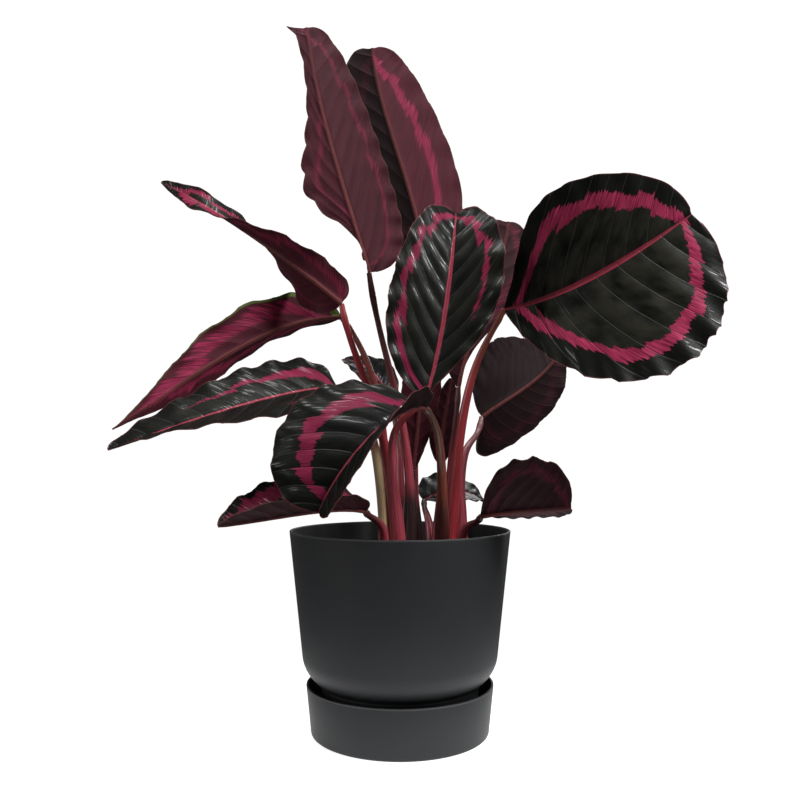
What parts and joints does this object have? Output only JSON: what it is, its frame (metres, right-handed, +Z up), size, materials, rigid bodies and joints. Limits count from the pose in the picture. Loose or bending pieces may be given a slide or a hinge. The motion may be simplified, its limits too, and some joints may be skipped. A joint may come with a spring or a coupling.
{
  "type": "potted surprise star calathea",
  "caption": "prayer plant with dark pink-banded upright and drooping leaves on slender stems, in a tapered planter that stands in a deep round saucer",
  "frame": {"origin": "middle of the saucer's flat underside, on the surface that the pot stands on", "axes": "+Z up, -Y the front of the picture, +X to the right seen from the front"},
  "size_m": [0.481, 0.3042, 0.6479],
  "materials": {
    "planter": "anthracite plastic with a fine satin sheen",
    "soil": "damp dark potting soil, fully matte",
    "stem": "smooth living stem, red with brown and pink stretches, soft sheen",
    "leaf": "waxy living leaf, near-black green with a crimson band above, maroon below"
  },
  "bodies": {
    "root": {"saucer": "planter", "pot": "planter", "soil": "soil", "stem_tall_left": "stem", "leaf_tall_left": "leaf", "stem_tall_back": "stem", "leaf_tall_back": "leaf", "stem_narrow_upper_left": "stem", "leaf_narrow_upper_left": "leaf", "stem_drooping_left": "stem", "leaf_drooping_left": "leaf", "stem_long_left": "stem", "leaf_long_left": "leaf", "stem_centre_front": "stem", "leaf_centre_front": "leaf", "stem_folded_front": "stem", "leaf_folded_front": "leaf", "stem_round_right": "stem", "leaf_round_right": "leaf", "stem_back_right": "stem", "leaf_back_right": "leaf", "stem_middle_right": "stem", "leaf_middle_right": "leaf", "stem_low_right": "stem", "leaf_low_right": "leaf", "stem_low_left": "stem", "leaf_low_left": "leaf", "stem_small_back_left": "stem", "leaf_small_back_left": "leaf", "stem_low_back_right": "stem", "leaf_low_back_right": "leaf", "stem_young_centre": "stem", "leaf_young_centre": "leaf", "stem_narrow_centre": "stem", "leaf_narrow_centre": "leaf"}
  },
  "joints": []
}
